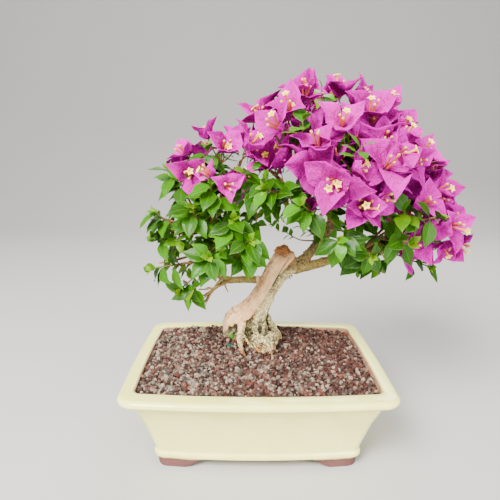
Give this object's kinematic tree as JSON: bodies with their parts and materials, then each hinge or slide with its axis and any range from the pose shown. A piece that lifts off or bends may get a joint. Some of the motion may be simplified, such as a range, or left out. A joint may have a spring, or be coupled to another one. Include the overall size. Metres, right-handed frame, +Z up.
{
  "type": "flowering bougainvillea bonsai in a pot",
  "caption": "Leaning bougainvillea bonsai with green leaves and magenta bracts, in a shallow cream glazed rectangular pot filled with lava grit.",
  "frame": {"origin": "on the surface that it stands on, under the middle of the whole plant's box", "axes": "+Z up, +X to the right along the pot's long side, the way the trunk leans, -Y out of the long side that faces the viewer"},
  "size_m": [0.3378, 0.251, 0.368],
  "materials": {
    "cream_glaze": "glossy pale cream glaze, unglazed clay feet",
    "lava_grit": "loose grey, mauve and red-brown lava grit over soil",
    "bark": "rough grey-brown bark",
    "leaf": "living leaf, satin, with pale veins",
    "bract": "papery magenta bract, matte",
    "mesh_plastic": "black plastic mesh"
  },
  "bodies": {
    "root": {"pot": "cream_glaze", "soil": "lava_grit", "wood": "bark", "drain_mesh_1": "mesh_plastic", "drain_mesh_2": "mesh_plastic", "leaf_spray_01": "leaf", "leaf_spray_02": "leaf", "leaf_spray_03": "leaf", "leaf_spray_04": "leaf", "leaf_spray_05": "leaf", "leaf_spray_06": "leaf", "leaf_spray_07": "leaf", "leaf_spray_08": "leaf", "leaf_spray_09": "leaf", "leaf_spray_10": "leaf", "leaf_spray_11": "leaf", "leaf_spray_12": "leaf", "leaf_spray_13": "leaf", "leaf_spray_14": "leaf", "leaf_spray_15": "leaf", "leaf_spray_16": "leaf", "leaf_spray_17": "leaf", "leaf_spray_18": "leaf", "leaf_spray_19": "leaf", "leaf_spray_20": "leaf", "leaf_spray_21": "leaf", "leaf_spray_22": "leaf", "leaf_spray_23": "leaf", "leaf_spray_24": "leaf", "leaf_spray_25": "leaf", "leaf_spray_26": "leaf", "leaf_spray_27": "leaf", "leaf_spray_28": "leaf", "bloom_bunch_01": "bract", "bloom_bunch_02": "bract", "bloom_bunch_03": "bract", "bloom_bunch_04": "bract", "bloom_bunch_05": "bract", "bloom_bunch_06": "bract", "bloom_bunch_07": "bract", "bloom_bunch_08": "bract", "bloom_bunch_09": "bract", "bloom_bunch_10": "bract", "bloom_bunch_11": "bract", "bloom_bunch_12": "bract", "bloom_bunch_13": "bract", "bloom_bunch_14": "bract", "bloom_bunch_15": "bract", "bloom_bunch_16": "bract", "bloom_bunch_17": "bract", "bloom_bunch_18": "bract", "bloom_bunch_19": "bract", "bloom_bunch_20": "bract", "bloom_bunch_21": "bract", "bloom_bunch_22": "bract", "bloom_bunch_23": "bract", "bloom_bunch_24": "bract", "bloom_bunch_25": "bract", "bloom_bunch_26": "bract", "bloom_bunch_27": "bract"}
  },
  "joints": []
}
